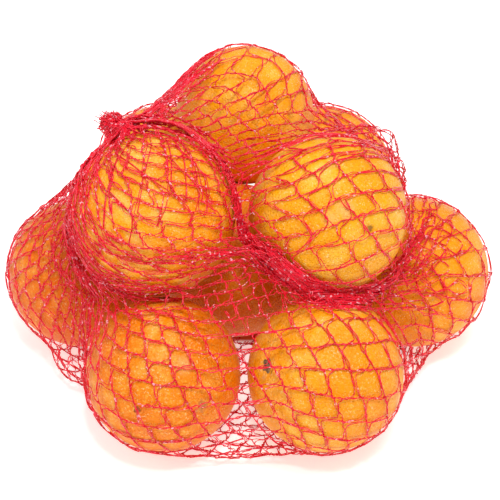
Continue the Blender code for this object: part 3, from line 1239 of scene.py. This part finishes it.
dice = np.random.default_rng(34)
points = []
chains = []
for stitch in range(len(places)):
    if not doubled_up(places[stitch], dice):
        continue
    for other in (left_below[stitch], right_below[stitch]):
        start = mesh_middle(stitch)
        end = None if other == NONE else mesh_middle(other)
        if start is None or end is None or np.linalg.norm(end - start) > LONGEST_SIDE:
            continue
        out = ways_out[stitch]
        aside = unit(np.cross(end - start, out))
        for sign in (-1, 1):
            chain = []
            for share, gap in SIDE_STATIONS:
                off = sign * gap * dice.uniform(0.6, 1.3) * (-1 if dice.random() < 0.25 else 1)
                spot = start + (end - start) * share + aside * off * MM
                chain.append(spot + out * dice.uniform(0.5, 1.4) * MM)
            add_chain(points, chains, chain)
net_piece("net_second_layer", chains, kept_off(np.array(points), THREAD + 0.3 * MM), 34)

# %% [markdown]
# ## The oranges
#
# An orange is nearly a ball, a little flattened from stem to blossom end, with a shallow
# dimple at the stem and a small navel at the other end. We start from a ball of even
# triangles, so that no pole shows, and press these shapes into it. The net lies close on
# the peel, so nearly all the shaping goes inwards.

# %% Shape of an orange
# name: (the way to its stem, how yellow it is, how pale with its painted sheen, how deep its orange is)
FRUIT = {
    "right": ((0.5, 0.6, -0.6), 0.45, 0.3, 0.05),
    "back_right": ((0.2, 0.8, 0.4), 0.2, 0.2, 0.2),
    "back_left": ((-0.5, 0.8, 0.3), 0.4, 0.3, 0.2),
    "left": ((-0.6, 0.5, -0.5), 0.0, 0.3, 1.2),
    "front_left": ((0.0, 0.2, -1.0), 0.4, 0.6, 0.9),
    "front_right": ((-0.778, -0.372, 0.506), 1.0, 0.6, 0.55),
    # The middle orange's deeper orange is partly painted shade, for the hollow that it lies in.
    "middle": ((0.9, 0.3, -0.3), 0.1, 0.2, 0.8),
    "top_left": ((-0.2, 0.9, -0.4), 0.45, 0.7, 0.15),
    "top_right": ((-0.3, 0.85, -0.35), 1.55, 0.7, 0.5),
    "top_back": ((0.5, 0.8, -0.2), 0.6, 0.4, 0.0),
}
NAVELS = {"top_right": (0.17, -0.72, 0.67)}  # elsewhere the navel is opposite the stem
LUMPS = 0.5 * MM  # from the lowest to the highest
FLATTENED = 0.2 * MM
DIMPLE = 1.6 * MM
CREASES = 0.25 * MM  # nine of them, that run out of the dimple
NAVEL = 0.5 * MM


def press(directions, towards, depth, width):
    """A round hollow pressed in from one side, as a change of radius."""
    angle = np.arccos(np.clip(directions @ unit(np.array(towards)), -1, 1))
    return -depth * bell(angle, 0, width)


def orange_mesh(name, centre, radius, stem, seed):
    dice = np.random.default_rng(seed)
    ball = bmesh.new()
    bmesh.ops.create_icosphere(ball, subdivisions=5, radius=1)
    mesh = bpy.data.meshes.new("orange_" + name)
    ball.to_mesh(mesh)
    ball.free()
    flat = np.zeros(len(mesh.vertices) * 3)
    mesh.vertices.foreach_get("co", flat)
    directions = unit(flat.reshape(-1, 3))
    stem = unit(np.array(stem))
    lumps = np.zeros(len(directions))
    for _ in range(14):  # waves that run every way over the ball
        wave = dice.normal(0, 2.6, 3)
        lumps += np.cos(directions @ wave + dice.uniform(0, 6.3))
    lumps = LUMPS * ((lumps - lumps.min()) / np.ptp(lumps) - 0.6)
    reach = radius + lumps - FLATTENED * (directions @ stem) ** 2
    angle = np.arccos(np.clip(directions @ stem, -1, 1))
    side, over = across_axis(stem)
    round_stem = np.arctan2(directions @ over, directions @ side)
    reach += press(directions, stem, DIMPLE, 0.16)
    reach -= CREASES * np.cos(9 * round_stem) * bell(angle, 0.2, 0.13)
    reach += press(directions, NAVELS.get(name, tuple(-stem)), NAVEL, 0.06)
    mesh.vertices.foreach_set("co", (centre + directions * reach[:, None]).ravel())
    mesh.shade_smooth()
    return mesh


print(len(FRUIT), "oranges to shape")

# %% [markdown]
# The peel's colour is never even: broad clouds of yellow and orange, paler flecks, and a
# fine stipple of oil glands, each a small pit with a soft rim. The pits break up every
# highlight, which is what makes a thing look like an orange rather than a painted ball.
# Part of the paleness is painted sheen, and fine pale specks are painted glints. Marks
# such as scuffs and rust spots are drawn as soft spots round a place on the peel, and so
# are a few painted cream highlights.

# %% Marks and painted highlights on the peel
BROWN = (112, 70, 34)
DARK_BROWN = (74, 40, 18)
GREY = (150, 112, 78)
# Painted highlight: a pale cream for sheen on the peel.
HIGHLIGHT_CREAM = (255, 206, 132)
TAN = (226, 176, 120)
STEM_STAIN = (150, 100, 44)
# orange: (the way to the spot, its size as a share of the radius, how strong, its colour); the cream
# spots are painted highlights
MARKS_AND_HIGHLIGHTS = {
    "top_back": (
        ((0.84, -0.14, 0.52), 0.09, 0.55, GREY),
        ((0.91, -0.23, 0.34), 0.07, 0.45, GREY),
    ),
    "back_right": (((0.0, -0.02, 1.0), 0.06, 0.5, GREY),),
    "top_right": (
        ((0.465, -0.78, 0.415), 0.062, 0.75, BROWN),
        ((0.17, -0.72, 0.67), 0.022, 0.6, GREY),
        ((0.17, -0.72, 0.67), 0.15, 0.45, HIGHLIGHT_CREAM),
        ((-0.02, -0.81, 0.59), 0.12, 0.35, HIGHLIGHT_CREAM),
    ),
    "front_left": (
        ((-0.28, -0.92, 0.28), 0.06, 0.95, BROWN),
        ((0.53, -0.81, 0.25), 0.11, 0.6, GREY),
        ((0.3, -0.6, 0.74), 0.14, 0.4, HIGHLIGHT_CREAM),
    ),
    "front_right": (
        ((-0.73, -0.46, 0.5), 0.06, 0.9, DARK_BROWN),
        ((-0.81, -0.46, 0.37), 0.05, 0.6, TAN),
    ),
}
print(sum(len(marks) for marks in MARKS_AND_HIGHLIGHTS.values()), "marks")


# %% Peel finish
def peel_finish(name, centre, radius, stem, yellow, pale, deep):
    material, tree, surface, place = new_finish("peel_" + name)
    clouds = tree.noise(place, 30.0, 4.0)
    mottle = tree.noise(place, 150.0, 3.0)
    flecks = tree.noise(place, 640.0, 2.0)
    specks = tree.noise(place, 1150.0, 1.0)
    glands = {"Vector": place, "Scale": 760.0, "Randomness": 0.9}
    pits = tree.add("ShaderNodeTexVoronoi", {}, glands, out="Distance")
    fine_pits = {"Vector": place, "Scale": 1700.0}
    small = tree.add("ShaderNodeTexVoronoi", {}, fine_pits, out="Distance")
    warm = colour(252 - 14 * deep, 138 + 22 * yellow - 26 * deep, 2)
    golden = colour(255 - 12 * deep, 164 + 20 * yellow - 30 * deep, 6)
    base = tree.blend(clouds.between(0.32, 0.66), warm, golden)
    # Pale patches, partly the peel's own paler colour and partly painted sheen: a highlight broken up by
    # the mottle.
    pale_patches_and_sheen = clouds.between(0.46, 0.62) * mottle.between(0.4, 0.6)
    base = tree.blend(pale_patches_and_sheen * pale, base, colour(255, 200, 92))
    base = tree.blend(flecks.between(0.52, 0.72) * (0.3 + 0.3 * pale), base, colour(255, 196, 76))
    base = tree.blend(pits.between(0.34, 0.08) * 0.2, base, colour(236, 118, 2))
    # Painted glints: fine pale specks, where the mottle allows, stand in for sparkles of light on the
    # peel.
    painted_sparkle = specks.between(0.6, 0.68) * mottle.between(0.36, 0.6) * 0.6
    base = tree.blend(painted_sparkle, base, colour(255, 222, 158))
    # Stem stain, real marks, and the painted cream highlights, each a soft spot round a place on the
    # peel.
    for towards, size, strength, tint in ((stem, 0.085, 0.8, STEM_STAIN), *MARKS_AND_HIGHLIGHTS.get(name, ())):
        away = tree.from_spot(place, centre + unit(np.array(towards)) * radius)
        away = away + (flecks - 0.5) * (size * radius * 1.5)  # a ragged edge
        mark_or_highlight = away.between(size * radius, size * radius * 0.35) * strength
        base = tree.blend(mark_or_highlight, base, colour(*tint))
    tree.feed(surface.inputs["Base Color"], base)
    tree.feed(surface.inputs["Roughness"], 0.27 + 0.2 * mottle)
    surface.inputs["Specular IOR Level"].default_value = 0.2
    height = pits.between(0.02, 0.5) * 1.1 + small.between(0.0, 0.6) * 0.3 + 0.5 * mottle + 0.5 * flecks
    tree.feed(surface.inputs["Normal"], tree.bump(height, 0.45 * MM, 0.7))
    return material


for number, (name, (centre, radius)) in enumerate(heap.items()):
    stem, yellow, pale, deep = FRUIT[name]
    mesh = orange_mesh(name, centre, radius, stem, 40 + number)
    mesh.materials.append(peel_finish(name, centre, radius, stem, yellow, pale, deep))
    piece_of("orange_" + name, mesh)

# %% [markdown]
# ## The stem buttons
#
# Where an orange grew on its twig, a small woody star stays in the dimple: five worn
# lobes round a darker scar.

# %% Stem button
def wood_finish():
    material, tree, surface, place = new_finish("stem_wood")
    grain = tree.noise(place, 1300.0, 4.0)
    base = tree.blend(grain.between(0.35, 0.65), colour(84, 58, 34), colour(158, 132, 96))
    tree.feed(surface.inputs["Base Color"], base)
    tree.feed(surface.inputs["Roughness"], 0.75 + 0.15 * grain)
    tree.feed(surface.inputs["Normal"], tree.bump(grain, 0.3 * MM, 0.8))
    return material


# (distance from its axis, height), in mm, from the scar over the lobes to the underside
BUTTON_OUTLINE = ((0.7, 1.0), (1.3, 0.5), (1.9, 0.9), (3.0, 0.8), (3.9, 0.2), (3.2, -0.8), (0.9, -1.0))
BUTTON_DEPTH = 2.1 * MM  # below where the peel would be without its dimple
BUTTON_SIDES = 30


def button_mesh(name, centre, radius, stem):
    """A low five-lobed star with a raised scar, closed underneath."""
    stem = unit(np.array(stem))
    side, over = across_axis(stem)
    shape = bmesh.new()
    rows = []
    seat = centre + stem * (radius - BUTTON_DEPTH)
    for reach, height in BUTTON_OUTLINE:
        row = []
        for k in range(BUTTON_SIDES):
            turn = 2 * math.pi * k / BUTTON_SIDES
            lobe = 1 + 0.2 * math.cos(5 * turn) * min(reach / 2.0, 1)
            spoke = side * math.cos(turn) + over * math.sin(turn)
            row.append(shape.verts.new(seat + spoke * reach * lobe * MM + stem * height * MM))
        rows.append(row)
    for above, below in zip(rows, rows[1:]):
        for k in range(BUTTON_SIDES):
            after = (k + 1) % BUTTON_SIDES
            shape.faces.new((above[k], above[after], below[after], below[k]))
    shape.faces.new(rows[0])
    shape.faces.new(rows[-1][::-1])
    bmesh.ops.recalc_face_normals(shape, faces=shape.faces)
    mesh = bpy.data.meshes.new("stem_" + name)
    shape.to_mesh(mesh)
    shape.free()
    mesh.shade_smooth()
    return mesh


STEM_WOOD = wood_finish()
for name, (centre, radius) in heap.items():
    mesh = button_mesh(name, centre, radius, FRUIT[name][0])
    mesh.materials.append(STEM_WOOD)
    piece_of("stem_" + name, mesh)

# %% [markdown]
# ## Floor, light and camera
#
# The net lies on a pale floor, which glows a little, as a lit backdrop does. Under the
# middle of the heap a warm brown shade is painted into the floor's colour and glow. The
# main light stands high, a little in front on the right. A weaker one fills from the
# left, a small one in front gives the peel its glints, and one behind lights the back.
# The sky is an even white, so that shadows stay soft.

# %% Floor
# Painted shade on the floor: a warm brown disc under the middle of the heap.
PAINTED_SHADE_MIDDLE = (0.0, 45 * MM, 0.0)
PAINTED_SHADE_WITHIN = (59.5 * MM, 63 * MM)  # where the shade starts to fade, and where it ends
GLOW = 0.5


def floor_finish():
    material, tree, surface, place = new_finish("floor_white_painted_shade")
    # Painted shade: within the disc the floor's colour and glow are warm brown.
    outside = tree.from_spot(place, PAINTED_SHADE_MIDDLE).between(*PAINTED_SHADE_WITHIN)
    base = tree.blend(outside, colour(214, 128, 96), colour(247, 247, 247))
    tree.feed(surface.inputs["Base Color"], base)
    glow = tree.blend(outside, colour(118, 34, 14), colour(255, 255, 255))
    tree.feed(surface.inputs["Emission Color"], glow)
    surface.inputs["Emission Strength"].default_value = GLOW
    surface.inputs["Roughness"].default_value = 0.9
    surface.inputs["Specular IOR Level"].default_value = 0.1
    return material


shape = bmesh.new()
bmesh.ops.create_grid(shape, x_segments=1, y_segments=1, size=6)
floor_mesh = bpy.data.meshes.new("floor")
shape.to_mesh(floor_mesh)
shape.free()
floor = bpy.data.objects.new("floor", floor_mesh)
floor_mesh.materials.append(floor_finish())
bpy.context.scene.collection.objects.link(floor)
floor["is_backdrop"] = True
print("floor ready")

# %% Light
# name: (place, width in metres, watts)
LIGHTS = {
    "key_light": ((0.28, -0.3, 1.28), 0.4, 6.5),
    "fill_light": ((-1.1, -0.1, 0.7), 0.5, 1.6),
    "glint_light": ((0.0, -0.5, 1.15), 0.1, 3.6),
    "back_light": ((-0.1, 0.55, 1.1), 0.6, 1.6),
}
LIT_POINT = (0, 0, 0.05)


def soft_light(name, place, size, watts):
    lamp = bpy.data.lights.new(name, "AREA")
    lamp.shape = "DISK"
    lamp.size = size
    lamp.energy = watts
    light = bpy.data.objects.new(name, lamp)
    light.location = place
    light.rotation_euler = (Vector(LIT_POINT) - Vector(place)).to_track_quat("-Z", "Y").to_euler()
    bpy.context.scene.collection.objects.link(light)


for name, facts in LIGHTS.items():
    soft_light(name, *facts)
world = bpy.data.worlds.new("white_sky")
bpy.context.scene.world = world
world.use_nodes = True
sky = world.node_tree.nodes["Background"]
sky.inputs["Color"].default_value = (1, 1, 1, 1)
sky.inputs["Strength"].default_value = 0.52
print(len(LIGHTS), "lights and a white sky")

# %% Camera
CAMERA_HEIGHT = 39.8  # degrees above the table
CAMERA_DISTANCE = 0.8
LENS = 113.9  # mm, on a sensor 36 mm wide
LOOK_AT = Vector((0.9, 0.0, 48.2)) * MM
tilt = math.radians(CAMERA_HEIGHT)
lens = bpy.data.cameras.new("camera")
lens.sensor_width = 36
lens.lens = LENS
camera = bpy.data.objects.new("camera", lens)
camera.location = LOOK_AT + CAMERA_DISTANCE * Vector((0, -math.cos(tilt), math.sin(tilt)))
camera.rotation_euler = (math.pi / 2 - tilt, 0, 0)
bpy.context.scene.collection.objects.link(camera)
bpy.context.scene.camera = camera
bpy.context.scene.view_settings.view_transform = "Standard"
print("camera", [round(v, 3) for v in camera.location])

# %% Sizes and finish
visual_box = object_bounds()
sizes = {"cad": [[float(v) for v in corner] for corner in cad_box]}
sizes["visual"] = [[float(v) for v in corner] for corner in visual_box]
for label, box in sizes.items():
    print(label, [[round(v / MM, 1) for v in corner] for corner in box])
